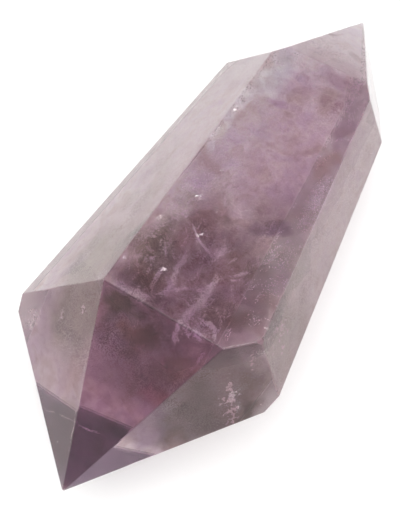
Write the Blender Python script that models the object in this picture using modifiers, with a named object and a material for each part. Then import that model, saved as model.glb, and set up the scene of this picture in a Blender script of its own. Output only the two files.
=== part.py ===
# Double terminated amethyst: one quartz crystal, ground and polished, with a point at each end.
#
# Six prism faces run along it and narrow towards the slim far end. Six pyramid faces close
# each end and meet at its point. It lies on its bottom prism face, wide end towards -Y,
# long axis along Y, origin on the ground under the middle of its box.
#
# It is cut the way a lapidary cuts it: a rough block loses what lies outside each face, the
# edges are broken by polishing, and one knocked corner has a shell-shaped chip.
# Lengths are in millimetres and angles in degrees, as a cutter would give them.

import math

import bmesh
import bpy
from mathutils import Matrix, Vector

MM = 0.001

TIP_TO_TIP = 90.0
ROUGH_BLOCK = 120.0

# Prism faces: compass angle round the long axis (0 is the top face, positive to the left as
# seen from the wide end), slope inwards towards the far end, distance from the axis half way.
PRISM_FACES = {
    "top": (4.0, 6.5, 15.7),
    "left": (56.5, 4.5, 15.0),
    "lower_left": (118.0, 9.0, 16.7),
    "bottom": (179.5, 6.0, 14.4),
    "lower_right": (-114.0, 6.0, 12.6),
    "right": (-65.0, 9.5, 18.3),
}

# Pyramid faces, all through their own point: compass angle, and how far the face's normal
# leans from the long axis (52 on a textbook quartz crystal, a few degrees off when ground).
NEAR_PYRAMID = {
    "top": (5.0, 53.5),
    "left": (52.5, 55.0),
    "lower_left": (120.5, 45.0),
    "bottom": (188.0, 50.5),
    "lower_right": (-117.0, 58.5),
    "right": (-53.5, 50.5),
}
FAR_PYRAMID = {
    "top": (5.5, 54.0),
    "left": (55.0, 56.0),
    "lower_left": (118.0, 55.0),
    "bottom": (176.0, 54.0),
    "lower_right": (-122.0, 56.0),
    "right": (-68.0, 55.0),
}

# Edges broken by the polishing wheel
EDGE_ROUND = 0.2
EDGE_STEPS = 2

# The chip where the top face, the right face and the near right pyramid face meet
CHIP_DEPTH = 0.35
CHIP_RADIUS = 2.6
CHIP_FINENESS = 3

# Points nearer a cutting plane than this count as on it
ON_PLANE = 0.001

CRYSTAL_NAME = "amethyst_crystal"
AMETHYST_COLOUR = (0.33, 0.19, 0.32, 1.0)
POLISH_ROUGHNESS = 0.06
QUARTZ_IOR = 1.548


def prism_normal(compass, slope):
    """Outward normal of a prism face that leans in towards +Y by its slope."""
    around = math.radians(compass)
    lean = math.radians(slope)
    return Vector((
        -math.cos(lean) * math.sin(around),
        math.sin(lean),
        math.cos(lean) * math.cos(around),
    ))


def pyramid_normal(compass, lean_from_axis, end):
    """Outward normal of a pyramid face at the near (end = -1) or far (end = 1) point."""
    around = math.radians(compass)
    lean = math.radians(lean_from_axis)
    return Vector((
        -math.sin(lean) * math.sin(around),
        end * math.cos(lean),
        math.sin(lean) * math.cos(around),
    ))


def face_planes():
    """Every face as a point on it and its outward normal, in metres."""
    planes = []
    for compass, slope, distance in PRISM_FACES.values():
        normal = prism_normal(compass, slope)
        straight_out = prism_normal(compass, 0.0)
        planes.append((straight_out * distance * MM, normal))
    for end, faces in ((-1, NEAR_PYRAMID), (1, FAR_PYRAMID)):
        tip = Vector((0.0, end * TIP_TO_TIP / 2 * MM, 0.0))
        for compass, lean_from_axis in faces.values():
            planes.append((tip, pyramid_normal(compass, lean_from_axis, end)))
    return planes


def cut_off(solid, point, normal):
    """Remove what lies outside one plane and close the cut with a flat face."""
    everything = solid.verts[:] + solid.edges[:] + solid.faces[:]
    cut = bmesh.ops.bisect_plane(
        solid, geom=everything, dist=ON_PLANE * MM,
        plane_co=point, plane_no=normal, clear_outer=True,
    )
    rim = [item for item in cut["geom_cut"] if isinstance(item, bmesh.types.BMEdge)]
    bmesh.ops.edgeloop_fill(solid, edges=rim)


def resting_turn():
    """The turn that brings the bottom prism face flat on the ground, long axis still along Y."""
    compass, slope, _ = PRISM_FACES["bottom"]
    bottom = prism_normal(compass, slope)
    lay_flat = bottom.rotation_difference(Vector((0.0, 0.0, -1.0))).to_matrix().to_4x4()
    long_axis = lay_flat @ Vector((0.0, 1.0, 0.0))
    straighten = Matrix.Rotation(math.atan2(long_axis.x, long_axis.y), 4, "Z")
    return straighten @ lay_flat


def polished_quartz():
    """Purple see-through quartz with a bright polish."""
    material = bpy.data.materials.new("polished amethyst")
    material.use_nodes = True
    shader = material.node_tree.nodes["Principled BSDF"]
    shader.inputs["Base Color"].default_value = AMETHYST_COLOUR
    shader.inputs["Roughness"].default_value = POLISH_ROUGHNESS
    shader.inputs["Metallic"].default_value = 0.0
    shader.inputs["IOR"].default_value = QUARTZ_IOR
    shader.inputs["Transmission Weight"].default_value = 1.0
    return material


def new_object(name, solid, collection):
    """Put a finished bmesh in the scene as an object."""
    mesh = bpy.data.meshes.new(name)
    solid.to_mesh(mesh)
    solid.free()
    thing = bpy.data.objects.new(name, mesh)
    collection.objects.link(thing)
    return thing


def make_crystal(collection):
    """The whole crystal: a rough block cut back to its eighteen faces."""
    solid = bmesh.new()
    bmesh.ops.create_cube(solid, size=ROUGH_BLOCK * MM)
    for point, normal in face_planes():
        cut_off(solid, point, normal)
    crystal = new_object(CRYSTAL_NAME, solid, collection)
    crystal.data.materials.append(polished_quartz())

    polish = crystal.modifiers.new("polished edges", "BEVEL")
    polish.width = EDGE_ROUND * MM
    polish.segments = EDGE_STEPS
    polish.limit_method = "NONE"
    return crystal


def make_chip(crystal, collection):
    """A ball that bites a shell-shaped chip out of the near right shoulder's top corner."""
    outwards = prism_normal(*PRISM_FACES["top"][:2])
    outwards += prism_normal(*PRISM_FACES["right"][:2])
    outwards += pyramid_normal(*NEAR_PYRAMID["right"], -1)
    outwards.normalize()
    corner = max((vert.co for vert in crystal.data.vertices), key=outwards.dot)

    ball = bmesh.new()
    bmesh.ops.create_icosphere(ball, subdivisions=CHIP_FINENESS, radius=CHIP_RADIUS * MM)
    centre = corner + outwards * (CHIP_RADIUS - CHIP_DEPTH) * MM
    bmesh.ops.translate(ball, verts=ball.verts, vec=centre)
    cutter = new_object("corner_chip_cutter", ball, collection)
    cutter.hide_render = True
    cutter.display_type = "WIRE"

    bite = crystal.modifiers.new("corner chip", "BOOLEAN")
    bite.operation = "DIFFERENCE"
    bite.solver = "EXACT"
    bite.object = cutter
    return cutter


def lay_down(crystal, cutter):
    """Turn both onto the resting face and bring the origin under the middle of the box."""
    turn = resting_turn()
    crystal.matrix_world = turn
    bpy.context.view_layer.update()
    polished = crystal.evaluated_get(bpy.context.evaluated_depsgraph_get())
    points = [turn @ Vector(corner) for corner in (vert.co for vert in polished.data.vertices)]
    lowest = Vector([min(point[axis] for point in points) for axis in range(3)])
    highest = Vector([max(point[axis] for point in points) for axis in range(3)])
    middle = (lowest + highest) / 2
    place = Matrix.Translation((-middle.x, -middle.y, -lowest.z)) @ turn
    crystal.matrix_world = place
    cutter.matrix_world = place


for old in list(bpy.data.objects):
    bpy.data.objects.remove(old, do_unlink=True)

parts = bpy.data.collections.new("double terminated amethyst")
cutters = bpy.data.collections.new("cutters")
bpy.context.scene.collection.children.link(parts)
bpy.context.scene.collection.children.link(cutters)

crystal = make_crystal(parts)
chip_cutter = make_chip(crystal, cutters)
lay_down(crystal, chip_cutter)
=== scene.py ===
import math
import random

import bmesh
import bpy
from mathutils import Matrix, Vector, noise
from mathutils.bvhtree import BVHTree


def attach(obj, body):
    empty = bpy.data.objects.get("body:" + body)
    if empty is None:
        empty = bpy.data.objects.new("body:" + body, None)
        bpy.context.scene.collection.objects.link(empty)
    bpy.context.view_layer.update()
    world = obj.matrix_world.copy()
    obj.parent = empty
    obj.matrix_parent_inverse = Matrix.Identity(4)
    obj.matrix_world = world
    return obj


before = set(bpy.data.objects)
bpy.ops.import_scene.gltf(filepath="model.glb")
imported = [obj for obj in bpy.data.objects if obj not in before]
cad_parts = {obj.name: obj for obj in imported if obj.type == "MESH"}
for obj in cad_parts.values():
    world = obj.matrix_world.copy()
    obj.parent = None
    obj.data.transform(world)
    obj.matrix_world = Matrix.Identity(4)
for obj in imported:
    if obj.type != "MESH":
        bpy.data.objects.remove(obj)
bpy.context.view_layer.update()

mm = 0.001
scene = bpy.context.scene
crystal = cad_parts["amethyst_crystal"]

noiseSeed = 11        # without one, noise vectors differ from run to run
noise.seed_set(noiseSeed)


def colour(hexCode):
    # sRGB hex to the linear values that shaders read
    code = hexCode.lstrip("#")
    parts = [int(code[i:i + 2], 16) / 255 for i in (0, 2, 4)]
    linear = [c / 12.92 if c <= 0.04045 else ((c + 0.055) / 1.055) ** 2.4 for c in parts]
    return (*linear, 1.0)


def addNode(tree, kind, settings=None, inputs=None, links=None):
    # one node with its settings, its plain values and what is plugged into it;
    # a node given as a link stands for its first output
    node = tree.nodes.new(kind)
    for name, value in (settings or {}).items():
        setattr(node, name, value)
    for socket, value in (inputs or {}).items():
        node.inputs[socket].default_value = value
    for socket, source in (links or {}).items():
        plug = source.outputs[0] if isinstance(source, bpy.types.Node) else source
        tree.links.new(plug, node.inputs[socket])
    return node


# settings that many nodes share
smoothly = {"interpolation_type": "SMOOTHSTEP"}
darkening = {"data_type": "RGBA", "blend_type": "MULTIPLY"}
scaling = {"operation": "MULTIPLY"}
vectors = {"data_type": "FLOAT_VECTOR"}
numbers = {"data_type": "FLOAT"}


def newMaterial(name, values):
    # a plain material with these values; also its tree, its shader and its output
    material = bpy.data.materials.new(name)
    material.use_nodes = True
    tree = material.node_tree
    shader = tree.nodes["Principled BSDF"]
    for socket, value in values.items():
        shader.inputs[socket].default_value = value
    return material, tree, shader, tree.nodes["Material Output"]


def absorbLight(tree, output, takes):
    # plain absorption: the density is the scale and the colour is what is left of it
    density = 2 * max(takes)
    depth = addNode(tree, "ShaderNodeVolumeAbsorption", inputs={
        "Color": (*[1 - k / density for k in takes], 1.0),
        "Density": density,
    })
    tree.links.new(depth.outputs["Volume"], output.inputs["Volume"])


def patchyTint(tree, place, length, detail, stops, roughness=0.5, ragged=0.0):
    # a tint that differs from place to place: length is the patches' size in mm, and stops
    # gives the tints by their height in the pattern
    pattern = addNode(tree, "ShaderNodeTexNoise", inputs={
        "Scale": 1 / (length * mm), "Detail": detail, "Roughness": roughness,
        "Distortion": ragged,
    }, links={"Vector": place})
    ramp = addNode(tree, "ShaderNodeValToRGB", links={"Fac": pattern.outputs["Fac"]})
    for number, (height, hexCode) in enumerate(stops.items()):
        if number > 1:
            ramp.color_ramp.elements.new(height)
        ramp.color_ramp.elements[number].position = height
        ramp.color_ramp.elements[number].color = colour(hexCode)
    return ramp.outputs["Color"]


def meshFrom(name, shape):
    mesh = bpy.data.meshes.new(name)
    shape.to_mesh(mesh)
    shape.free()
    return mesh


def addPiece(name, mesh):
    # a finished mesh as one of the things that show inside the stone
    piece = bpy.data.objects.new(name, mesh)
    scene.collection.objects.link(piece)
    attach(piece, "root")


def stoneShape():
    # the crystal's faces, to find the skin above or below a place in plan
    mesh = bmesh.new()
    mesh.from_mesh(crystal.data)
    tree = BVHTree.FromBMesh(mesh)
    mesh.free()
    return tree


stone = stoneShape()
wellClear = 0.1           # m over and under the ground, out of the stone's reach


def skin(x, y, side=1):
    # the place on the stone's skin at x, y mm and the face's normal there, seen from above
    # or, where side is -1, from below
    start = Vector((x * mm, y * mm, side * wellClear))
    return stone.ray_cast(start, Vector((0, 0, -side)))[:2]


def below(x, y, depth):
    # the place straight down from that one that is so many mm from the face
    spot, normal = skin(x, y)
    return spot - Vector((0, 0, depth * mm / normal.z))


# ---- the crystal: polished amethyst ----

quartz = {
    "ior": 1.548,
    "roughness": 0.02,
    "undersideRoughness": 0.6,
    "clearness": 0.985,                   # the rest is a faint milky bloom
    "absorbPerMetre": (8.0, 12.5, 11.5),  # red, green, blue taken by a metre of clean stone
    "waviness": 0.03,                     # mm, what hand polishing leaves on the faces
    "waveLength": 7.0,                    # mm
    "wander": 3.0,                        # mm that the edges of the colour zones stray
    "wanderLength": 4.545,                # mm
    "zoneRim": (0.4, 1.3),                # where a zone starts to fade and ends: 1 is its size
    "faceTurn": (0.93, 0.985),            # how far a normal may turn and still be that face
    "edgeTurn": (0.95, 0.975),            # the same for the narrow facet along an edge
    "undersideTurn": (-0.3, -0.05),       # z of a ground face's normal and of a polished one's
    "throughStone": 1000,                 # m, so that a patch drawn in plan has no top or foot
}

# Growth zones as they show through the face that they lie under, and tints over whole faces
# that are partly the stone's colour and partly painted shade, which makes each face darker or
# lighter as light falls on it. Each one: place in plan (mm), half sizes (mm across and along),
# turn (degrees), tint, strength.
# Keep to 65 zones or fewer: with 67 or more the whole stone has come out plain black.
zones = {
    "whole top face": ((3, 5), (40, 60), 0, "#FFFEFF", 1.0),
    "wide end, top": ((3, -13), (16, 12), 0, "#D8C2C9", 1.0),
    "olive patch": ((4.4, 23.8), (1.8, 1.6), 20, "#DACEBE", 0.8),
    "tan by the right edge": ((9.9, 13.9), (1.5, 2.8), 10, "#DCC4B2", 0.9),
    "purple by the feather": ((-1.1, 18.8), (1.8, 1.2), 0, "#E4C8EA", 0.8),
    "purple, slim end": ((-0.6, 23.6), (2.4, 2.0), 0, "#EADAF0", 0.8),
    "purple by the far right edge": ((9.0, 20.0), (1.6, 2.6), 0, "#D0B4CE", 0.9),
    "plum by the far edge": ((4.4, 27.6), (3.6, 2.0), -10, "#CFB6C6", 0.9),
    "mauve by the left edge": ((-4.8, 5.0), (2.4, 4.0), 0, "#DCCEDA", 1.0),
    "plum band half way": ((7.8, 3.0), (4.6, 3.8), 10, "#BCAEB2", 1.0),
    "rosy smoke half way": ((-0.6, -1.6), (2.4, 3.8), 10, "#BCA4AC", 1.0),
    "rust in the green smoke": ((-1.6, -7.6), (1.8, 2.2), 0, "#DCCCC8", 1.0),
    "smoke by the left edge": ((-4.4, -1.4), (1.8, 2.2), 0, "#C8C8C0", 0.9),
    "olive by the left edge": ((-6.0, -12.0), (1.8, 3.4), 0, "#D0CABE", 1.0),
    "plum by the near left corner": ((-5.4, -15.8), (3.0, 2.4), 0, "#9C8498", 1.0),
    "dark heart under the arc": ((-1.4, -15.6), (2.6, 1.6), 0, "#C0AEB8", 1.0),
    "brown by the near edge": ((8.4, -14.4), (3.0, 3.0), 0, "#C6B6B4", 0.9),
    "plum by the tufts": ((6.6, -16.4), (1.8, 1.3), 0, "#E8E0E8", 1.0),
    "plum above the twin streak": ((5.9, -1.6), (1.8, 1.6), 0, "#E8DEE4", 1.0),
    "plum right of the mist": ((6.6, 12.0), (2.6, 4.6), 0, "#EEEAE9", 1.0),
    "plum below the mist": ((1.8, 3.4), (2.6, 2.4), 0, "#EEE6EE", 1.0),
    "plum by the right edge, half way": ((9.4, 6.4), (1.8, 2.2), 0, "#E8DDE8", 1.0),
    "smoke by the left edge, wide end": ((-4.9, -9.0), (2.2, 4.2), 0, "#EAEADF", 1.0),
    "brown, right of the middle": ((8.0, -5.4), (3.0, 2.8), 0, "#D4D0C4", 1.0),
    "plum along the near edge": ((3.0, -17.2), (9.0, 2.0), 0, "#E2D4DE", 1.0),
    "whole near top face": ((3, -25), (40, 40), 0, "#A87694", 1.0),
    "plum heart, near top": ((3.6, -25.8), (7.5, 6.2), 0, "#A08A98", 1.0),
    "olive black corner": ((-4.0, -19.8), (3.4, 2.2), -20, "#6A644E", 1.0),
    "smoke by the ridge, near top": ((-4.0, -23.2), (2.0, 3.0), 0, "#B0A0B2", 1.0),
    "rust below the corner": ((0.0, -22.9), (3.4, 1.9), 5, "#AC8E7C", 1.0),
    "rust by the near edge": ((8.2, -22.8), (4.2, 2.2), 25, "#C2A08E", 0.9),
    "dark plum band": ((5.8, -26.5), (3.6, 2.4), 20, "#CEB6BA", 0.9),
    "rosy glow by the near edge": ((7.0, -28.4), (2.6, 1.8), 30, "#E0ACB6", 1.0),
    "dark tip, near top": ((1.6, -38.4), (7.2, 5.6), 0, "#B4ACB2", 1.0),
    "black foot, near top": ((4.0, -34.0), (3.0, 1.8), 10, "#9C949A", 1.0),
    # painted shade with the colour: a dark tint over the whole near right face
    "whole near right face": ((12.8, -22.6), (10.5, 10.0), 0, "#6D5E5D", 1.0),
    "dark strip at the right end": ((18.0, -22.8), (1.0, 2.4), 15, "#8A7670", 1.0),
    "brown strip at the right end": ((17.6, -21.0), (2.0, 3.4), 15, "#DCCEC8", 1.0),
    "brown heart of the near right face": ((12.2, -27.6), (5.0, 5.0), 0, "#A29A96", 1.0),
    "brown by the lower edge, near right": ((11.6, -30.8), (2.6, 2.2), 0, "#B8A4A0", 1.0),
    "smoke by the ridge, near right": ((7.2, -31.6), (4.6, 3.0), 25, "#9A8AA0", 1.0),
    "brown by the near right edge": ((15.5, -19.5), (2.2, 1.6), 20, "#E6DED8", 0.8),
    "whole near left face": ((-10, -28), (40, 40), 0, "#C4B0B8", 1.0),
    "lilac by the far left corner": ((-14.8, -27.0), (3.6, 7.0), 0, "#ECDCF0", 1.0),
    "plum in the far left corner": ((-16.6, -22.6), (2.6, 2.4), 0, "#DBD4DC", 1.0),
    "tan, near left": ((-9.0, -22.8), (6.4, 6.4), 0, "#A89E8C", 1.0),
    "olive tip, near left": ((-4.0, -39.0), (7.0, 5.4), 0, "#B2AC96", 1.0),
    "rosy glow by the ridge, near left": ((-5.4, -29.4), (2.6, 3.8), 0, "#ECDCD6", 1.0),
    "band along the right edge": ((11.4, 11.5), (2.6, 24.0), 6, "#C6B8C2", 1.0),
    "plum by the far right corner": ((7.4, 26.0), (4.4, 5.0), 0, "#D8C6D0", 1.0),
    "whole right face": ((17, 0), (60, 60), 0, "#D4D0CA", 1.0),
    "smoke in the near end, right": ((17.4, -12.5), (4, 8.5), 0, "#CACCC2", 1.0),
    "whole left face": ((-12, 0), (60, 60), 0, "#F5F6F2", 1.0),
    "tan by the left ridge": ((-9.4, -6.0), (1.8, 14.0), 10, "#E0DED8", 1.0),
    "green smoke in the near end, left": ((-11.2, -16.4), (4.0, 8.0), 0, "#BABDA6", 1.0),
    "far top face": ((1, 34), (40, 40), 0, "#E8E0E4", 1.0),
    "white far tip": ((1.2, 40.8), (1.6, 2.6), 0, "#FFFFFF", 1.0),
    "smudge on the far top face": ((-1.7, 37.1), (1.4, 0.5), 30, "#C4B8BA", 1.0),
    "smoke by the far right ridge": ((3.6, 34.2), (1.8, 0.9), -30, "#CCC0C4", 1.0),
    "rosy foot of the far top face": ((2, 30), (7, 3), 0, "#D8C6CC", 1.0),
    # painted shade: a grey tint over the whole far right face, which shows mostly reflected light
    "far right face": ((9.5, 33.5), (20, 20), 0, "#ACAAAC", 1.0),
}

# Painted shade along two edges, on the narrow facets there: a place on the face at each side, tint
paintedEdgeShade = {
    "top face to near top face": ((3, 5), (3, -25), "#B49EAC"),
    "near top face to near right face": ((3, -25), (12, -22), "#CCBCC6"),
}


def turnGate(tree, facing, normal, turn):
    # rises from 0 to 1 as the face's normal comes near to this one
    turned = addNode(tree, "ShaderNodeVectorMath", {"operation": "DOT_PRODUCT"},
                     {1: normal}, {0: facing})
    return addNode(tree, "ShaderNodeMapRange", smoothly,
                   {"From Min": turn[0], "From Max": turn[1]}, {"Value": turned.outputs["Value"]})


def faceGate(tree, facing, x, y, gates):
    # 1 on the face that lies at x, y in plan and 0 on all others
    normal = skin(x, y)[1]
    key = tuple(round(part, 2) for part in normal)
    if key not in gates:
        gates[key] = turnGate(tree, facing, normal, quartz["faceTurn"])
    return gates[key]


def patchReach(tree, name, middle, halfSize, turn, place):
    # how far out a place lies from the middle of a patch drawn in plan: 1 is the patch's size
    patch = addNode(tree, "ShaderNodeMapping", {"vector_type": "TEXTURE", "label": name}, {
        "Location": (middle[0] * mm, middle[1] * mm, 0),
        "Rotation": (0, 0, math.radians(turn)),
        "Scale": (halfSize[0] * mm, halfSize[1] * mm, quartz["throughStone"]),
    }, {"Vector": place})
    length = addNode(tree, "ShaderNodeVectorMath", {"operation": "LENGTH"}, links={0: patch})
    return length.outputs["Value"]


# Mottling inside the stone, which shows most through the two broad top faces. Blotches and
# specks: size (mm), detail, tints by their height in the pattern.
mottle = {
    "shownBy": ((3, 5), (3, -25)),    # a place on each of those faces
    "elsewhere": 0.15,                # how much of it the other faces show
    "ragged": 0.6,
    "blotches": (4.2, 3.0, {0.36: "#E2D4D0", 0.5: "#FFFDFF", 0.64: "#EEE4F4"}),
    "specks": (1.3, 2.0, {0.5: "#FFFFFF", 0.66: "#EAE0E4"}),
}

# Healed cracks that reach the skin show there as ragged pale flecks. Each patch: place in plan
# (mm), half sizes (mm across and along), turn (degrees), how rare the flecks are (0 to 1).
flecks = {
    "cluster in the near right face": ((15.3, -22.9), (1.2, 2.2), 38, 0.43),
    "streak from the chip": ((15.4, -17.2), (0.5, 1.5), 30, 0.46),
    "specks in the right face": ((16.2, -11.8), (1.5, 3.2), 20, 0.47),
    "marks in the far left corner": ((-17.1, -25.2), (1.3, 1.6), 0, 0.37),
    "short streak, near left": ((-12.0, -23.8), (0.4, 0.9), 20, 0.40),
    "mark by the ridge, near left": ((-8.7, -22.5), (0.5, 0.8), 10, 0.44),
}
fleckLook = {
    "length": 0.8,            # mm
    "detail": 4.0,
    "ragged": 1.2,
    "edge": 0.08,             # how softly a fleck ends
    "thinning": 0.12,         # how much rarer flecks get from a patch's middle to its size
    "rim": (1.0, 1.5),        # where a patch starts to fade and ends: 1 is its size
    "tint": "#DECAD2",
}


def flecked(tree, place, facing, gates, tint):
    # lightens the tint in the flecks
    pattern = addNode(tree, "ShaderNodeTexNoise",
                      inputs={"Scale": 1 / (fleckLook["length"] * mm),
                              "Detail": fleckLook["detail"], "Distortion": fleckLook["ragged"]},
                      links={"Vector": place})
    fade, end = fleckLook["rim"]
    for name, (middle, halfSize, turn, rare) in flecks.items():
        reach = patchReach(tree, name, middle, halfSize, turn, place)
        # the pattern has to rise higher the further out it is
        height = addNode(tree, "ShaderNodeMath", {"operation": "MULTIPLY_ADD"},
                         {1: -fleckLook["thinning"]}, {0: reach, 2: pattern.outputs["Fac"]})
        shown = addNode(tree, "ShaderNodeMapRange", smoothly,
                        {"From Min": rare, "From Max": rare + fleckLook["edge"]},
                        {"Value": height})
        gate = faceGate(tree, facing, *middle, gates)
        near = addNode(tree, "ShaderNodeMapRange", {}, {"From Min": end, "From Max": fade},
                       {"Value": reach})
        amount = addNode(tree, "ShaderNodeMath", scaling, links={0: shown, 1: gate})
        amount = addNode(tree, "ShaderNodeMath", scaling, links={0: amount, 1: near})
        mix = addNode(tree, "ShaderNodeMix", {"data_type": "RGBA"},
                      {7: colour(fleckLook["tint"])}, {0: amount, 6: tint})
        tint = mix.outputs[2]
    return tint


def mottled(tree, place, facing, gates, tint):
    # brown and violet blotches a few mm across with finer dark specks, on top of the zones
    shown = addNode(tree, "ShaderNodeValue")
    shown.outputs[0].default_value = mottle["elsewhere"]
    for x, y in mottle["shownBy"]:
        gate = faceGate(tree, facing, x, y, gates)
        shown = addNode(tree, "ShaderNodeMath", {"operation": "MAXIMUM"}, links={0: shown, 1: gate})
    for length, detail, stops in (mottle["blotches"], mottle["specks"]):
        patchy = patchyTint(tree, place, length, detail, stops, ragged=mottle["ragged"])
        mix = addNode(tree, "ShaderNodeMix", darkening, links={0: shown, 6: tint, 7: patchy})
        tint = mix.outputs[2]
    return tint


def polishedAmethyst():
    # amethyst, ground and polished: a glassy gloss on every face, plum where light runs deep
    material, tree, shader, output = newMaterial("polished amethyst", {
        "IOR": quartz["ior"],
        "Roughness": quartz["roughness"],
        "Transmission Weight": quartz["clearness"],
    })
    absorbLight(tree, output, quartz["absorbPerMetre"])
    place = addNode(tree, "ShaderNodeTexCoord").outputs["Object"]
    geometry = addNode(tree, "ShaderNodeNewGeometry").outputs
    facing = geometry["True Normal"]
    # seen from inside the stone a face's normal is turned round; this one isn't
    turnBack = addNode(tree, "ShaderNodeMath", {"operation": "MULTIPLY_ADD"},
                       {1: -2.0, 2: 1.0}, {0: geometry["Backfacing"]})
    outward = addNode(tree, "ShaderNodeVectorMath", {"operation": "SCALE"},
                      links={0: facing, "Scale": turnBack})
    stray = quartz["wander"] * mm
    wander = addNode(tree, "ShaderNodeTexNoise",
                     inputs={"Scale": 1 / (quartz["wanderLength"] * mm), "Detail": 4.0},
                     links={"Vector": place})
    shifted = addNode(tree, "ShaderNodeVectorMath", {"operation": "MULTIPLY_ADD"},
                      {1: [2 * stray] * 3}, {0: wander.outputs["Color"], 2: place})
    centred = addNode(tree, "ShaderNodeVectorMath", {"operation": "SUBTRACT"},
                      {1: [stray] * 3}, {0: shifted})
    gates = {}
    tint = addNode(tree, "ShaderNodeRGB")
    tint.outputs[0].default_value = (1, 1, 1, 1)
    # painted shade on the narrow facets along those edges
    for name, (oneSide, otherSide, hexCode) in paintedEdgeShade.items():
        between = (skin(*oneSide)[1] + skin(*otherSide)[1]).normalized()
        gate = turnGate(tree, outward, between, quartz["edgeTurn"])
        mix = addNode(tree, "ShaderNodeMix", {**darkening, "label": name},
                      {7: colour(hexCode)}, {0: gate, 6: tint})
        tint = mix.outputs[2]
    fade, end = quartz["zoneRim"]
    # growth zones, and painted shade over whole faces, each kept to its own face
    for name, (middle, halfSize, turn, hexCode, strength) in zones.items():
        reach = patchReach(tree, name, middle, halfSize, turn, centred)
        inside = addNode(tree, "ShaderNodeMapRange", smoothly,
                         {"From Min": end, "From Max": fade, "To Max": strength},
                         {"Value": reach})
        gate = faceGate(tree, facing, *middle, gates)
        amount = addNode(tree, "ShaderNodeMath", scaling, links={0: inside, 1: gate})
        mix = addNode(tree, "ShaderNodeMix", darkening, {7: colour(hexCode)},
                      {0: amount, 6: tint})
        tint = mix.outputs[2]
    tint = mottled(tree, place, facing, gates, tint)
    tint = flecked(tree, place, facing, gates, tint)
    tree.links.new(tint, shader.inputs["Base Color"])

    swell = addNode(tree, "ShaderNodeTexNoise",
                    inputs={"Scale": 1 / (quartz["waveLength"] * mm), "Detail": 1.0},
                    links={"Vector": place})
    wavy = addNode(tree, "ShaderNodeBump", inputs={"Distance": quartz["waviness"] * mm},
                   links={"Height": swell.outputs["Fac"]})
    tree.links.new(wavy.outputs["Normal"], shader.inputs["Normal"])

    # the lower faces were ground but hardly polished
    ground, polished = quartz["undersideTurn"]
    lift = addNode(tree, "ShaderNodeSeparateXYZ", links={0: outward}).outputs["Z"]
    polish = addNode(tree, "ShaderNodeMapRange", {}, {
        "From Min": ground, "From Max": polished,
        "To Min": quartz["undersideRoughness"], "To Max": quartz["roughness"],
    }, {"Value": lift})
    tree.links.new(polish.outputs["Result"], shader.inputs["Roughness"])
    return material


crystal.data.materials.clear()
crystal.data.materials.append(polishedAmethyst())
print("crystal dressed")

# ---- colour clouds: growth zones deep in the stone that drink more of the light ----

cloudLook = {
    "fineness": 5,            # subdivisions of the ball that each cloud is drawn from
    "clump": 0.45,            # how much thicker and thinner it gets from place to place
    "clumpLength": 4.0,       # mm
    "ragged": 2.4,            # mm that its outline strays
    "raggedLength": 5.0,      # mm
    "mottleLength": 2.2,      # mm
    "mottleDetail": 5.0,
    "mottleRoughness": 0.6,
    "mottleStops": (0.4, 0.6),    # heights in the pattern at which it is full and gone
}

# Each cloud: middle in plan and depth (mm), half sizes across, along and down (mm), turn
# (degrees), red, green and blue taken by a metre of it, tint of its mottling.
clouds = {
    "plum_heart": ((3.5, -12.0, 5.2), (11.0, 12.0, 3.8), 0, (80, 118, 94), "#ECDCE6"),
    "grey_smoke": ((12.0, -6.5, 4.0), (3.4, 9.0, 2.2), -6, (34, 30, 38), "#ECECE8"),
    "green_smoke": ((-3.8, -9.6, 4.0), (3.6, 6.0, 2.2), 12, (80, 76, 100), "#E4E8DC"),
    "violet_slim_half": ((5.0, 14.0, 4.5), (8.5, 18.0, 2.6), 0, (4, 18, 8), "#F0E4F2"),
    "rust_corner": ((-3.4, -15.4, 3.4), (3.4, 2.6, 1.8), -25, (80, 140, 150), "#F0DCD4"),
    "rust_band": ((2.4, -3.2, 3.6), (5.5, 2.8, 1.6), 15, (50, 90, 80), "#F0DCDC"),
    "violet_spot": ((8.6, 0.6, 3.4), (2.8, 1.8, 1.8), 15, (90, 130, 84), "#E8D8F4"),
    "rust_knot": ((11.8, -14.0, 3.2), (1.8, 1.8, 1.6), 0, (90, 140, 130), "#ECD4D0"),
}


def growCloud(name, middle, halfSize, turn, takes, mottleTint):
    # a flat lens that thins out to nothing all round, parallel to the face above it
    centre = below(*middle)
    normal = skin(*middle[:2])[1]
    turned = Matrix.Rotation(math.radians(turn), 3, "Z")
    ball = bmesh.new()
    bmesh.ops.create_icosphere(ball, subdivisions=cloudLook["fineness"], radius=1.0)
    body = ball.verts.layers.float.new("body")
    for vert in ball.verts:
        across, along, up = vert.co
        plan = turned @ Vector((across * halfSize[0], along * halfSize[1], 0)) * mm
        stray = noise.noise_vector((centre + plan) / (cloudLook["raggedLength"] * mm))
        plan += Vector((stray.x, stray.y, 0)) * cloudLook["ragged"] * mm
        lump = noise.noise((centre + plan) / (cloudLook["clumpLength"] * mm))
        thick = halfSize[2] * mm * (1 + cloudLook["clump"] * 2 * lump)
        slope = -(normal.x * plan.x + normal.y * plan.y) / normal.z
        vert[body] = up * up
        vert.co = centre + plan + Vector((0, 0, slope + up * abs(up) * thick))
    for face in ball.faces:
        face.smooth = True
    mesh = meshFrom(name, ball)
    mesh.materials.append(cloudyAmethyst(name, takes, mottleTint))
    addPiece(name, mesh)


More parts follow.
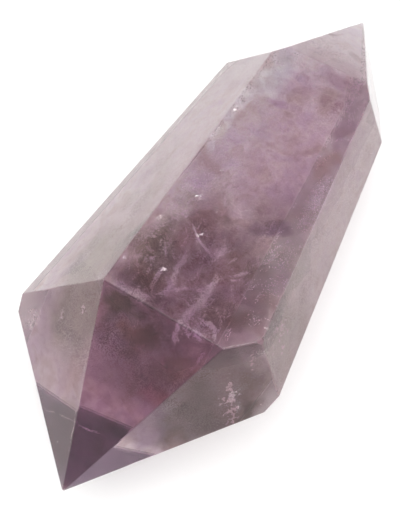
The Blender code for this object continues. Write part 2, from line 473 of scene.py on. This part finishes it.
def cloudyAmethyst(name, takes, mottleTint):
    # amethyst of a deeper colour: no skin of its own to see, only what it takes from the light
    material, tree, shader, output = newMaterial("amethyst, " + name.replace("_", " "), {
        "IOR": 1.0,
        "Roughness": 0.0,
        "Specular IOR Level": 0.0,
        "Transmission Weight": 1.0,
    })
    absorbLight(tree, output, takes)
    place = addNode(tree, "ShaderNodeTexCoord").outputs["Object"]
    full, gone = cloudLook["mottleStops"]
    patchy = patchyTint(tree, place, cloudLook["mottleLength"], cloudLook["mottleDetail"],
                        {full: mottleTint, gone: "#FFFFFF"}, cloudLook["mottleRoughness"])
    # the mottling fades with the cloud itself, so the cloud has no rim
    body = addNode(tree, "ShaderNodeAttribute", {"attribute_name": "body"})
    mottled = addNode(tree, "ShaderNodeMix", {"data_type": "RGBA"}, {6: (1, 1, 1, 1)},
                      {0: body.outputs["Fac"], 7: patchy})
    tree.links.new(mottled.outputs[2], shader.inputs["Base Color"])
    return material


# A growth zone that lies right along the lower face under the near point
footZone = {
    "under": (1, -34),        # a place in plan under that face, mm
    "sameFace": 0.9999,       # normals that turn less than this are that face's
    "drawnIn": 0.05,          # how far its corners draw in towards its middle
    "depths": (0.15, 0.75),   # mm over the face
    "takes": (250, 400, 230),
    "mottleTint": "#E4E4E4",
}


def growFootZone(name):
    normal = skin(*footZone["under"], side=-1)[1]
    corners = set()
    for face in crystal.data.polygons:
        if face.normal.dot(normal) > footZone["sameFace"]:
            corners.update(face.vertices)
    points = [crystal.data.vertices[corner].co for corner in corners]
    middle = sum(points, Vector()) / len(points)
    slab = bmesh.new()
    for depth in footZone["depths"]:
        for point in points:
            slab.verts.new(point.lerp(middle, footZone["drawnIn"]) - normal * depth * mm)
    hull = bmesh.ops.convex_hull(slab, input=slab.verts)
    bmesh.ops.delete(slab, geom=hull["geom_interior"] + hull["geom_unused"], context="VERTS")
    body = slab.verts.layers.float.new("body")
    for vert in slab.verts:
        vert[body] = 1.0
    mesh = meshFrom(name, slab)
    mesh.materials.append(cloudyAmethyst(name, footZone["takes"], footZone["mottleTint"]))
    addPiece(name, mesh)


for name, values in clouds.items():
    growCloud(name, *values)
growFootZone("zone_along_the_near_foot")
print("colour clouds grown:", len(clouds))

# ---- inclusions: healed cracks full of tiny fluid bubbles, which look white ----

inclusions = {
    "clearSkin": 0.2,         # mm of clean stone kept over every flake
    "sheetStep": 0.5,         # mm between the points of a sheet
    "ruffle": 0.35,           # mm that a sheet waves
    "ruffleLength": 2.5,      # mm
    "clump": 1.6,             # how much thicker and thinner a sheet gets from place to place
    "clumpLength": 1.3,       # mm
    "edgePower": 4,           # how sharply a sheet thins out at its edges
    "patternShift": (3.7, 1.9, 0),    # from one veil's ruffles and clumps to the next one's
    "flakeBase": 0.6,         # radius of a flake's foot, for its width
    "uneven": (0.5, 1.6),     # narrowest and widest flake, for the width that is given
    "seed": 11,
}

# How thick a flake is for its width, and how far it leans from lying flat (radians)
crumbs = {"thickness": 0.35, "tumble": 0.6}
mirrors = {"thickness": 0.06, "tumble": 0.22}

# A milky bloom deep in the stone: flakes strewn evenly through boxes, of which those that fall
# in the stone stay. Each box: flakes, flake width (mm), low corner and high corner (mm).
bloom = {
    "milky_bloom_wide_end": (24000, 0.15, (-8, -23, 1), (8, 3, 13)),
    "milky_bloom_slim_end": (32000, 0.15, (-11, 3, 1), (7.5, 38, 13)),
    "milky_bloom_far_left": (9000, 0.15, (-9, 22, 6), (-2, 31, 24)),
}

# White feathers: the palest healed cracks. Each one: its line (x and y in plan and depth under
# the skin, mm), how far the sheet hangs from it (x, y, z mm), flakes to a square mm, flake
# width, side spread.
feathers = {
    "feather in the far left corner": (
        [(-5.9, 18.9, 0.9), (-5.9, 21.0, 0.9), (-5.8, 23.2, 0.9), (-5.3, 25.8, 0.9)],
        (3.6, 0.6, -1.2), 360, 0.13, 0.4),
    "upper feather": (
        [(-6.0, 27.4, 0.8), (-4.6, 29.4, 0.7), (-2.2, 29.9, 0.7)],
        (0.8, -4.2, -1.2), 360, 0.13, 0.4),
    "feather's ragged edge": (
        [(-6.4, 18.6, 0.8), (-4.9, 19.3, 0.8), (-4.4, 19.9, 0.8), (-3.1, 19.5, 0.9),
         (-2.2, 19.4, 1.0), (-1.2, 19.5, 1.0)],
        (0.3, 0.5, -1.2), 110, 0.12, 0.22),
    "frost along the left edge": (
        [(-6.6, 24.5, 0.6), (-6.8, 19.0, 0.6), (-6.9, 14.4, 0.6), (-6.9, 10.0, 0.6),
         (-7.0, 6.0, 0.6)],
        (1.7, 0, -0.5), 330, 0.12, 0.2),
    "cluster in the near right face": (
        [(15.4, -19.6, 0.7), (14.9, -20.9, 0.7), (14.3, -22.2, 0.7)],
        (1.5, -0.7, -0.8), 70, 0.2, 0.25),
    "cluster's foot": ([(15.9, -21.8, 0.7), (16.2, -23.0, 0.7)], (0.6, 0, -0.5), 60, 0.16, 0.2),
    "marks in the far left corner of the near left face": (
        [(-17.0, -24.0, 0.5), (-16.6, -26.4, 0.5)], (0.5, 0, -0.5), 60, 0.2, 0.25),
    "line along the near ridge": (
        [(-7.3, -18.9, 0.35), (-6.2, -22.1, 0.35), (-5.1, -25.8, 0.35), (-3.9, -29.5, 0.35),
         (-2.8, -33.2, 0.35), (-1.6, -36.9, 0.35), (-0.6, -40.2, 0.35)],
        (0, 0, -0.35), 160, 0.1, 0.04),
}

# Veils, mists and wisps, full of fluid and so a little lilac, given the same way
veils = {
    "mist in the slim half": (
        [(-6.4, 17.6, 1.6), (-6.4, 11.0, 1.6), (-6.0, 4.6, 1.8), (-4.6, -0.6, 2.0)],
        (5.4, 0.6, -0.6), 50, 0.11, 1.0),
    "streak in the mist": (
        [(-2.9, 10.6, 1.2), (-2.6, 9.0, 1.2), (-1.6, 6.6, 1.3), (-0.6, 4.2, 1.4), (-0.1, 1.6, 1.5)],
        (0.5, 0, -1.6), 50, 0.1, 0.5),
    "pale patch": ([(-0.3, 17.3, 1.2), (0.6, 15.0, 1.2)], (0.7, 0, -1.0), 45, 0.1, 0.5),
    "mist by the right edge": (
        [(11.8, 12.2, 1.0), (11.9, 9.4, 1.0), (12.3, 6.0, 1.0), (12.6, 2.6, 1.0)],
        (-1.8, 0, -1.5), 60, 0.11, 0.6),
    "speckle by the left edge": (
        [(-6.6, 3.0, 1.0), (-6.4, 0.0, 1.2), (-6.8, -4.0, 1.2)],
        (2.8, -0.6, -1.0), 34, 0.15, 0.6),
    "mottled left edge": (
        [(-6.7, -5.6, 1.0), (-7.0, -9.4, 1.0), (-7.2, -13.4, 1.0)],
        (1.4, -0.2, -1.2), 40, 0.13, 0.5),
    "needle": ([(-1.9, -4.5, 1.4), (-0.2, -5.7, 1.4), (1.9, -7.0, 1.5), (3.3, -7.8, 1.6)],
               (0, 0, -1.0), 150, 0.11, 0.14),
    "plume": (
        [(5.0, -9.4, 1.6), (5.4, -11.2, 1.5), (5.5, -13.0, 1.5), (4.9, -15.2, 1.5),
         (4.7, -16.9, 1.4), (4.6, -18.6, 1.3)],
        (0.3, 0.1, -1.4), 190, 0.1, 0.42),
    "plume head": ([(4.6, -18.0, 1.2), (4.6, -19.6, 1.2), (5.2, -20.6, 1.2)],
                   (0.2, 0, -1.2), 200, 0.12, 0.3),
    "plume mist": ([(4.2, -12.0, 2.2), (4.2, -18.4, 2.0)], (2.4, 0, -0.6), 48, 0.1, 0.8),
    "arc": ([(1.1, -14.9, 1.6), (2.7, -13.6, 1.6), (5.1, -12.6, 1.6)],
            (0, 0.2, -1.2), 100, 0.1, 0.3),
    "long wisp": (
        [(-0.5, -8.2, 1.8), (0.2, -10.2, 1.6), (-0.2, -11.4, 1.6), (0.2, -13.9, 1.5),
         (0.5, -15.8, 1.5), (-0.2, -16.8, 1.5)],
        (0.3, 0, -1.2), 115, 0.1, 0.34),
    "wisp from the near left corner": (
        [(-7.2, -17.9, 1.0), (-5.4, -18.0, 1.2), (-3.0, -17.8, 1.4), (-1.4, -17.6, 1.5),
         (-0.2, -16.8, 1.5)],
        (0.2, 0.2, -1.4), 80, 0.1, 0.5),
    "hook": ([(-1.7, -12.6, 1.4), (-1.6, -14.1, 1.4), (-1.6, -15.5, 1.4), (-1.1, -16.6, 1.4)],
             (0.2, 0, -1.0), 120, 0.11, 0.28),
    "short streak": ([(5.5, -7.0, 1.2), (6.2, -5.8, 1.2)], (0.1, 0, -0.8), 90, 0.11, 0.16),
    "twin streak": (
        [(6.8, -9.2, 1.2), (7.9, -7.8, 1.2), (9.3, -7.0, 1.2)], (0, 0, -1.0), 60, 0.11, 0.2),
    "twin streak below": ([(7.1, -9.5, 1.2), (8.3, -8.5, 1.2)], (0, 0, -1.0), 80, 0.11, 0.16),
    "tuft": ([(6.9, -17.0, 1.2), (7.9, -16.1, 1.2), (9.4, -16.5, 1.2)],
             (0.2, -0.4, -1.2), 150, 0.12, 0.3),
    "middle tuft": ([(6.6, -18.6, 1.2), (8.5, -18.5, 1.2)], (0, -0.3, -1.0), 160, 0.12, 0.22),
    "lower tuft": ([(5.6, -18.2, 1.2), (6.5, -19.0, 1.2)], (0.2, 0, -1.0), 90, 0.12, 0.22),
    "trailing tuft": ([(8.9, -17.0, 1.2), (9.9, -18.4, 1.2)], (0.2, 0, -1.0), 70, 0.12, 0.24),
    "wisp in the smoky corner": ([(11.7, -10.6, 1.2), (12.0, -8.2, 1.2)],
                                 (0.1, 0, -1.0), 60, 0.1, 0.2),
    "smoky corner mist": ([(11.6, -12.2, 1.6), (14.0, -11.4, 1.4)],
                          (0.2, -1.6, -0.8), 26, 0.11, 0.6),
    "grey mist, right": ([(12.8, 0.6, 1.2), (13.0, -4.0, 1.2), (14.0, -9.4, 1.2)],
                         (-2.0, 0, -1.0), 22, 0.11, 0.8),
    "marks along the near edge": (
        [(9.7, -19.8, 0.8), (9.5, -21.2, 0.8), (9.1, -23.1, 0.8), (8.4, -24.3, 0.8)],
        (-0.4, 0, -0.8), 80, 0.13, 0.2),
    "growth line, near left": ([(-7.6, -35.5, 0.8), (-4.8, -35.6, 0.8), (-1.8, -35.7, 0.8)],
                               (0, 0.1, -0.6), 70, 0.1, 0.14),
    "growth line, near top": ([(-1.5, -35.7, 0.8), (0.2, -35.6, 0.8), (1.8, -35.3, 0.8)],
                              (0, 0.1, -0.6), 90, 0.1, 0.14),
    "fine line, near top": ([(1.2, -24.4, 0.8), (1.6, -22.2, 0.8)], (0, 0, -0.6), 60, 0.1, 0.1),
    "streak, near left": ([(-12.7, -23.1, 0.8), (-10.9, -24.1, 0.8)],
                          (0, 0, -0.5), 90, 0.11, 0.08),
}

# A net of fine soft wisps that fills in between them. Each patch: how many, low and high corner
# in plan (mm), depth (mm), main direction and how far they stray from it (degrees from across),
# shortest and longest (mm), thinnest and thickest (flakes to a square mm).
fineWisps = {
    "wide end": (80, (-5.5, -19.0), (11.0, -1.0), 1.6, 95, 45, (1.4, 4.6), (14, 44)),
    "near top face": (26, (-3.0, -27.0), (9.0, -19.5), 1.2, 70, 50, (1.2, 3.6), (10, 26)),
    "slim half": (34, (-5.5, 1.0), (9.0, 26.0), 1.6, 90, 40, (1.6, 5.0), (8, 20)),
    "left edge": (44, (-6.6, -14.0), (-3.4, 3.0), 1.0, 60, 60, (0.8, 2.2), (30, 80)),
    "left face": (16, (-16.0, -16.0), (-9.5, 22.0), 0.8, 110, 20, (1.6, 4.0), (8, 22)),
    "right face": (18, (13.5, -14.0), (16.0, 10.0), 0.8, 70, 30, (1.0, 3.0), (14, 40)),
}

wispLook = {
    "parts": 3,               # straight parts in each line
    "bend": 25,               # degrees that a part may turn from the one before
    "depthStray": 0.5,        # mm
    "hang": (0.2, 0, -1.0),   # mm that a wisp's sheet hangs from its line
    "flake": 0.1,             # mm
    "spread": (0.12, 0.3),    # mm
}


def wispLines(patch, chance):
    # bent lines strewn over one patch, each with how many flakes it has to a square mm
    count, low, high, depth, main, stray, lengths, densities = patch
    for number in range(count):
        heading = math.radians(main + chance.uniform(-stray, stray))
        bend = math.radians(chance.uniform(-wispLook["bend"], wispLook["bend"]))
        step = chance.uniform(*lengths) / wispLook["parts"]
        x, y = chance.uniform(low[0], high[0]), chance.uniform(low[1], high[1])
        off = chance.uniform(-wispLook["depthStray"], wispLook["depthStray"])
        line = [(x, y, depth + off)]
        for part in range(wispLook["parts"]):
            x += step * math.cos(heading)
            y += step * math.sin(heading)
            heading += bend
            line.append((x, y, line[0][2]))
        # a line that runs over the stone's rim in plan is left out
        if all(skin(*spot[:2])[0] for spot in line):
            yield line, chance.uniform(*densities)


sparkleLook = {
    "flakes": 12,             # in a square as wide as the sparkle
    "flake": 0.25,            # width of one, for the sparkle's
    "spread": 0.22,           # for the sparkle's width
}

# Single bright sparkles: x and y in plan, depth and width, all mm
sparkles = [
    (-3.6, 19.6, 0.5, 0.7), (-3.0, 19.1, 0.5, 0.5), (-6.3, 14.8, 0.7, 0.9), (-6.4, 15.6, 0.7, 0.5),
    (-3.0, 4.9, 0.7, 0.4), (3.7, 1.2, 0.7, 0.4), (0.2, -1.2, 0.7, 0.4), (-3.6, -0.3, 0.8, 0.9),
    (-6.5, -6.0, 0.7, 0.9), (-7.0, -8.2, 0.7, 0.6), (-7.1, -10.8, 0.7, 0.5),
    (-7.1, -14.2, 0.7, 0.6), (-6.1, -16.4, 0.7, 0.45), (-1.4, -18.5, 0.7, 0.7),
    (-1.4, 20.0, 0.7, 0.35), (-0.2, 19.6, 0.7, 0.4), (-0.3, -5.6, 0.8, 0.9),
    (2.0, -7.0, 0.8, 0.4), (-1.7, -12.8, 0.8, 0.8), (5.0, -20.0, 0.8, 0.8),
    (7.4, -16.6, 0.8, 0.7), (7.8, -26.6, 0.6, 0.45), (9.0, -25.8, 0.6, 0.6),
    (10.6, -4.8, 0.8, 0.5), (15.3, -16.2, 0.5, 0.8), (15.8, -15.6, 0.5, 0.8),
    (17.7, -18.3, 0.6, 0.4), (18.6, -20.4, 0.6, 0.35), (-15.9, -21.7, 0.6, 0.7),
    (-14.4, -22.1, 0.6, 0.5), (-8.0, -22.0, 0.6, 0.7), (-17.8, -24.0, 0.6, 1.0),
    (-17.4, -25.6, 0.6, 0.9), (-3.4, -38.9, 0.6, 0.4), (-3.9, -25.7, 0.6, 0.7),
    (-2.9, -22.9, 0.7, 0.7), (15.0, -9.7, 0.6, 0.5), (17.2, -16.0, 0.6, 0.5),
    (14.6, -13.3, 0.6, 0.4), (15.0, -7.6, 0.6, 0.4), (15.4, -14.6, 0.5, 0.5),
    (15.5, -12.7, 0.5, 0.4), (15.1, -10.7, 0.5, 0.5), (16.8, -15.6, 0.5, 0.4),
    (17.0, -12.5, 0.5, 0.35), (14.4, -22.0, 0.5, 0.6), (15.6, -20.4, 0.5, 0.7),
    (15.9, -21.8, 0.5, 0.5), (16.2, -23.2, 0.5, 0.4), (-15.5, -21.4, 0.5, 0.6),
    (-13.9, -21.9, 0.5, 0.5), (-7.5, -22.3, 0.5, 0.8), (-10.4, -23.6, 0.5, 0.4),
    (-9.2, -24.3, 0.5, 0.4), (-16.5, -25.0, 0.5, 0.8), (-16.4, -26.2, 0.5, 0.6),
]

milk = {
    "patchLength": 3.333,     # mm
    "detail": 2.0,
    "stops": (0.35, 0.65),    # heights in the pattern at which it is dim and pale
    "roughness": 0.45,
}


def milkyQuartz(name, dimTint, paleTint):
    # quartz full of fine bubbles: matt and pale, a little dimmer from place to place
    material, tree, shader, output = newMaterial(name, {"Roughness": milk["roughness"]})
    place = addNode(tree, "ShaderNodeTexCoord").outputs["Object"]
    dim, pale = milk["stops"]
    patchy = patchyTint(tree, place, milk["patchLength"], milk["detail"],
                        {dim: dimTint, pale: paleTint})
    tree.links.new(patchy, shader.inputs["Base Color"])
    return material


def airCracks():
    # cracks full of air: bright as little mirrors where they catch the light
    return newMaterial("air-filled cracks", {
        "Base Color": colour("#FFFCFC"),
        "Metallic": 1.0,
        "Roughness": 0.3,
    })[0]


def flakeTree():
    tree = bpy.data.node_groups.new("flakesInStone", "GeometryNodeTree")
    tree.interface.new_socket("Geometry", in_out="INPUT", socket_type="NodeSocketGeometry")
    for name, kind in (("Stone", "Object"), ("Haze count", "Int"), ("Haze flake", "Float"),
                       ("Clear skin", "Float"), ("Thickness", "Float"), ("Tumble", "Vector"),
                       ("Low corner", "Vector"), ("High corner", "Vector"), ("Seed", "Int"),
                       ("Material", "Material")):
        tree.interface.new_socket(name, in_out="INPUT", socket_type="NodeSocket" + kind)
    tree.interface.new_socket("Geometry", in_out="OUTPUT", socket_type="NodeSocketGeometry")
    given = tree.nodes.new("NodeGroupInput").outputs

    # haze: single flakes strewn through the box that is given
    strewn = addNode(tree, "FunctionNodeRandomValue", vectors,
                     links={0: given["Low corner"], 1: given["High corner"],
                            "Seed": given["Seed"]})
    haze = addNode(tree, "GeometryNodePoints", links={"Count": given["Haze count"],
                                                      "Position": strewn})
    sizedHaze = addNode(tree, "GeometryNodeStoreNamedAttribute", numbers,
                        {"Name": "flake"}, {"Geometry": haze, "Value": given["Haze flake"]})
    # veils: flakes on the sheets that come in, spread a little to both sides
    density = addNode(tree, "GeometryNodeInputNamedAttribute", numbers, {"Name": "density"})
    sown = addNode(tree, "GeometryNodeDistributePointsOnFaces", {"distribute_method": "RANDOM"},
                   links={"Mesh": given["Geometry"], "Density": density, "Seed": given["Seed"]})
    reach = addNode(tree, "GeometryNodeInputNamedAttribute", numbers, {"Name": "spread"})
    jump = addNode(tree, "FunctionNodeRandomValue", vectors,
                   {0: (-1, -1, -1), 1: (1, 1, 1)}, {"Seed": given["Seed"]})
    stray = addNode(tree, "ShaderNodeVectorMath", {"operation": "SCALE"},
                    links={0: jump, "Scale": reach})
    spread = addNode(tree, "GeometryNodeSetPosition", links={"Geometry": sown, "Offset": stray})
    every = addNode(tree, "GeometryNodeJoinGeometry")
    tree.links.new(sizedHaze.outputs[0], every.inputs[0])
    tree.links.new(spread.outputs[0], every.inputs[0])

    # whatever would show outside the stone, or too near its skin, goes
    shape = addNode(tree, "GeometryNodeObjectInfo", {"transform_space": "ORIGINAL"},
                    links={"Object": given["Stone"]}).outputs["Geometry"]
    here = addNode(tree, "GeometryNodeInputPosition")
    nearest = addNode(tree, "GeometryNodeProximity", {"target_element": "FACES"},
                      links={0: shape})
    faceNormal = addNode(tree, "GeometryNodeInputNormal")
    outward = addNode(tree, "GeometryNodeSampleNearestSurface", vectors,
                      links={"Mesh": shape, "Value": faceNormal})
    fromSkin = addNode(tree, "ShaderNodeVectorMath", {"operation": "SUBTRACT"},
                       links={0: here, 1: nearest})
    height = addNode(tree, "ShaderNodeVectorMath", {"operation": "DOT_PRODUCT"},
                     links={0: fromSkin, 1: outward}).outputs["Value"]
    lowest = addNode(tree, "ShaderNodeMath", scaling, {1: -1.0}, {0: given["Clear skin"]})
    tooHigh = addNode(tree, "FunctionNodeCompare", {"data_type": "FLOAT",
                                                    "operation": "GREATER_THAN"},
                      links={0: height, 1: lowest})
    kept = addNode(tree, "GeometryNodeDeleteGeometry", {"domain": "POINT"},
                   links={"Geometry": every, "Selection": tooHigh})

    # one flake is a low three-sided point of four faces
    flake = addNode(tree, "GeometryNodeMeshCone", {"fill_type": "NGON"},
                    {"Vertices": 3, "Side Segments": 1, "Radius Top": 0.0,
                     "Radius Bottom": inclusions["flakeBase"]},
                    {"Depth": given["Thickness"]})
    size = addNode(tree, "GeometryNodeInputNamedAttribute", numbers, {"Name": "flake"})
    narrowest, widest = inclusions["uneven"]
    uneven = addNode(tree, "FunctionNodeRandomValue", numbers,
                     {2: narrowest, 3: widest}, {"Seed": given["Seed"]})
    scale = addNode(tree, "ShaderNodeMath", scaling, links={0: size, 1: uneven.outputs[1]})
    anyTurn = addNode(tree, "FunctionNodeRandomValue", vectors,
                      {0: (-1, -1, -1), 1: (1, 1, 1)}, {"Seed": given["Seed"]})
    tumble = addNode(tree, "ShaderNodeVectorMath", scaling,
                     links={0: anyTurn, 1: given["Tumble"]})
    placed = addNode(tree, "GeometryNodeInstanceOnPoints",
                     links={"Points": kept, "Instance": flake, "Rotation": tumble, "Scale": scale})
    real = addNode(tree, "GeometryNodeRealizeInstances", links={0: placed})
    dressed = addNode(tree, "GeometryNodeSetMaterial",
                      links={"Geometry": real, "Material": given["Material"]})
    addNode(tree, "NodeGroupOutput", links={0: dressed})
    return tree


def alongLine(line, t):
    # the place a fraction t of the way along a line of points
    at = t * (len(line) - 1)
    first = min(int(at), len(line) - 2)
    return line[first].lerp(line[first + 1], at - first)


def drawSheet(sheets, layers, line, hang, density, flake, spread, offset):
    # one ruffled sheet hanging from a line, thin at its edges and clumped in between
    step = inclusions["sheetStep"] * mm
    power = inclusions["edgePower"]
    run = sum((b - a).length for a, b in zip(line, line[1:]))
    columns = max(3, round(run / step))
    rows = max(3, round(hang.length / step))
    grid = []
    for column in range(columns + 1):
        for row in range(rows + 1):
            t, down = column / columns, row / rows
            spot = alongLine(line, t) + hang * down
            wave = noise.noise_vector(spot / (inclusions["ruffleLength"] * mm) + offset)
            vertex = sheets.verts.new(spot + wave * inclusions["ruffle"] * mm)
            edge = (1 - abs(2 * t - 1) ** power) * (1 - abs(2 * down - 1) ** power)
            clump = noise.noise(spot / (inclusions["clumpLength"] * mm) - offset)
            thick = 1 + inclusions["clump"] * clump
            vertex[layers["density"]] = max(0.0, density * edge * thick) / mm ** 2
            vertex[layers["flake"]] = flake * mm
            vertex[layers["spread"]] = spread * mm
            grid.append(vertex)
    for column in range(columns):
        for row in range(rows):
            corner = column * (rows + 1) + row
            sheets.faces.new((grid[corner], grid[corner + 1],
                              grid[corner + rows + 2], grid[corner + rows + 1]))


def sheetMesh(drawn):
    # thin sheets, each of which carries its own flake density, size and spread
    sheets = bmesh.new()
    layers = {name: sheets.verts.layers.float.new(name) for name in ("density", "flake", "spread")}
    for sheet in drawn:
        drawSheet(sheets, layers, *sheet)
    return meshFrom("sheets", sheets)


# Veils, wisps and sparkles as the sheets that drawSheet is given
def veilSheets(listed):
    for number, (line, hang, density, flake, spread) in enumerate(listed.values()):
        spots = [below(*spot) for spot in line]
        offset = Vector([number * shift for shift in inclusions["patternShift"]])
        yield spots, Vector(hang) * mm, density, flake, spread, offset


def wispSheets():
    chance = random.Random(inclusions["seed"])
    hang = Vector(wispLook["hang"]) * mm
    for patch in fineWisps.values():
        for line, density in wispLines(patch, chance):
            spots = [below(*spot) for spot in line]
            spread = chance.uniform(*wispLook["spread"])
            offset = Vector((line[0][0], line[0][1], 0))
            yield spots, hang, density, wispLook["flake"], spread, offset


def sparkleSheets():
    # each sparkle's flakes lie on a small sheet that leans to the right
    for x, y, depth, width in sparkles:
        spots = [below(x, y - width / 2, depth), below(x, y + width / 2, depth)]
        hang = Vector((width, 0, -width / 2)) * mm
        density = sparkleLook["flakes"] / width ** 2
        flake, spread = sparkleLook["flake"] * width, sparkleLook["spread"] * width
        yield spots, hang, density, flake, spread, Vector((x, y, 0))


def growFlakes(name, material, look, mesh, seed, count=0, flake=0.1, low=(0, 0, 0),
               high=(0, 0, 0)):
    # runs the tree on a mesh of sheets and a box of haze, and keeps what it grew as a plain mesh
    holder = bpy.data.objects.new("sheets", mesh)
    scene.collection.objects.link(holder)
    grower = holder.modifiers.new("flakes", "NODES")
    grower.node_group = growing
    values = {
        "Stone": crystal,
        "Haze count": count,
        "Haze flake": flake * mm,
        "Clear skin": inclusions["clearSkin"] * mm,
        "Thickness": look["thickness"],
        "Tumble": (look["tumble"], look["tumble"], math.pi),
        "Low corner": Vector(low) * mm,
        "High corner": Vector(high) * mm,
        "Seed": seed,
        "Material": material,
    }
    for item in growing.interface.items_tree:
        if item.in_out == "INPUT" and item.name in values:
            grower[item.identifier] = values[item.name]
    bpy.context.view_layer.update()
    grown = holder.evaluated_get(bpy.context.evaluated_depsgraph_get())
    grownMesh = bpy.data.meshes.new_from_object(grown)
    bpy.data.objects.remove(holder, do_unlink=True)
    addPiece(name, grownMesh)
    print(name, "grown:", len(grownMesh.polygons), "faces")


growing = flakeTree()
lilacVeils = milkyQuartz("fluid-filled veils", "#E6D0E6", "#FAEEF8")
whiteCracks = milkyQuartz("healed cracks", "#F2E8F0", "#FFFCFC")
milkyBloom = milkyQuartz("milky bloom", "#ECDEE6", "#FAF6F6")
seed = inclusions["seed"]
growFlakes("white_feathers", whiteCracks, crumbs, sheetMesh(veilSheets(feathers)), seed)
growFlakes("milky_veils", lilacVeils, crumbs, sheetMesh(veilSheets(veils)), seed)
growFlakes("fine_wisps", lilacVeils, crumbs, sheetMesh(wispSheets()), seed + 1)
growFlakes("sparkles", airCracks(), mirrors, sheetMesh(sparkleSheets()), seed + 2)
for number, (name, (count, flake, low, high)) in enumerate(bloom.items()):
    nothing = bpy.data.meshes.new("no sheets")
    growFlakes(name, milkyBloom, crumbs, nothing, seed + 3 + number, count, flake, low, high)

# ---- studio ----

studio = {
    "floorRadius": 4.0,       # m
    "floorSides": 96,
    "floorColour": "#FBFBFA",
    "fill": 0.91,             # light from all round
    "overhead": 5.1,          # the soft box straight above
    "overheadInner": 14.0,    # degrees from straight up that it is full
    "overheadOuter": 25.0,
    "gap": 0.2 * mm,          # between the stone and the floor
}


def layFloor():
    disc = bmesh.new()
    bmesh.ops.create_circle(disc, cap_ends=True, segments=studio["floorSides"],
                            radius=studio["floorRadius"])
    mesh = meshFrom("studioFloor", disc)
    mesh.transform(Matrix.Translation((0, 0, -studio["gap"])))
    floor = bpy.data.objects.new("studioFloor", mesh)
    scene.collection.objects.link(floor)
    paper = newMaterial("matt white paper", {
        "Base Color": colour(studio["floorColour"]),
        "Roughness": 0.9,
        "Specular IOR Level": 0.0,
    })
    mesh.materials.append(paper[0])


def lightStudio():
    world = bpy.data.worlds.new("studio light")
    scene.world = world
    world.use_nodes = True
    tree = world.node_tree
    background = tree.nodes["Background"]
    direction = addNode(tree, "ShaderNodeTexCoord").outputs["Generated"]
    height = addNode(tree, "ShaderNodeSeparateXYZ", links={0: direction}).outputs["Z"]
    strength = addNode(tree, "ShaderNodeMapRange", smoothly, {
        "From Min": math.cos(math.radians(studio["overheadOuter"])),
        "From Max": math.cos(math.radians(studio["overheadInner"])),
        "To Min": studio["fill"],
        "To Max": studio["overhead"],
    }, {"Value": height})
    tree.links.new(strength.outputs["Result"], background.inputs["Strength"])
    background.inputs["Color"].default_value = (1, 1, 1, 1)


camera = {
    "lens": 100.0,            # mm
    "sensor": 36.0,           # mm
    "clip": (0.01, 20.0),     # m
    "azimuth": -30.53,
    "elevation": 73.72,
    "roll": 0.35,
    "distance": 213.04 * mm,
    "aim": (-0.12 * mm, -5.13 * mm, 17.7 * mm),
}


def placeCamera():
    lens = bpy.data.cameras.new("camera")
    lens.lens = camera["lens"]
    lens.sensor_width = camera["sensor"]
    lens.clip_start, lens.clip_end = camera["clip"]
    eye = bpy.data.objects.new("camera", lens)
    scene.collection.objects.link(eye)
    azimuth = math.radians(camera["azimuth"])
    elevation = math.radians(camera["elevation"])
    forward = Vector((math.sin(azimuth) * math.cos(elevation),
                      math.cos(azimuth) * math.cos(elevation),
                      -math.sin(elevation)))
    right = forward.cross(Vector((0, 0, 1))).normalized()
    turn = Matrix((right, right.cross(forward), -forward)).transposed()
    turn = turn @ Matrix.Rotation(math.radians(camera["roll"]), 3, "Z")
    place = Vector(camera["aim"]) - forward * camera["distance"]
    eye.matrix_world = Matrix.Translation(place) @ turn.to_4x4()
    scene.camera = eye


layFloor()
lightStudio()
placeCamera()
scene.view_settings.view_transform = "Standard"
print("studio ready")
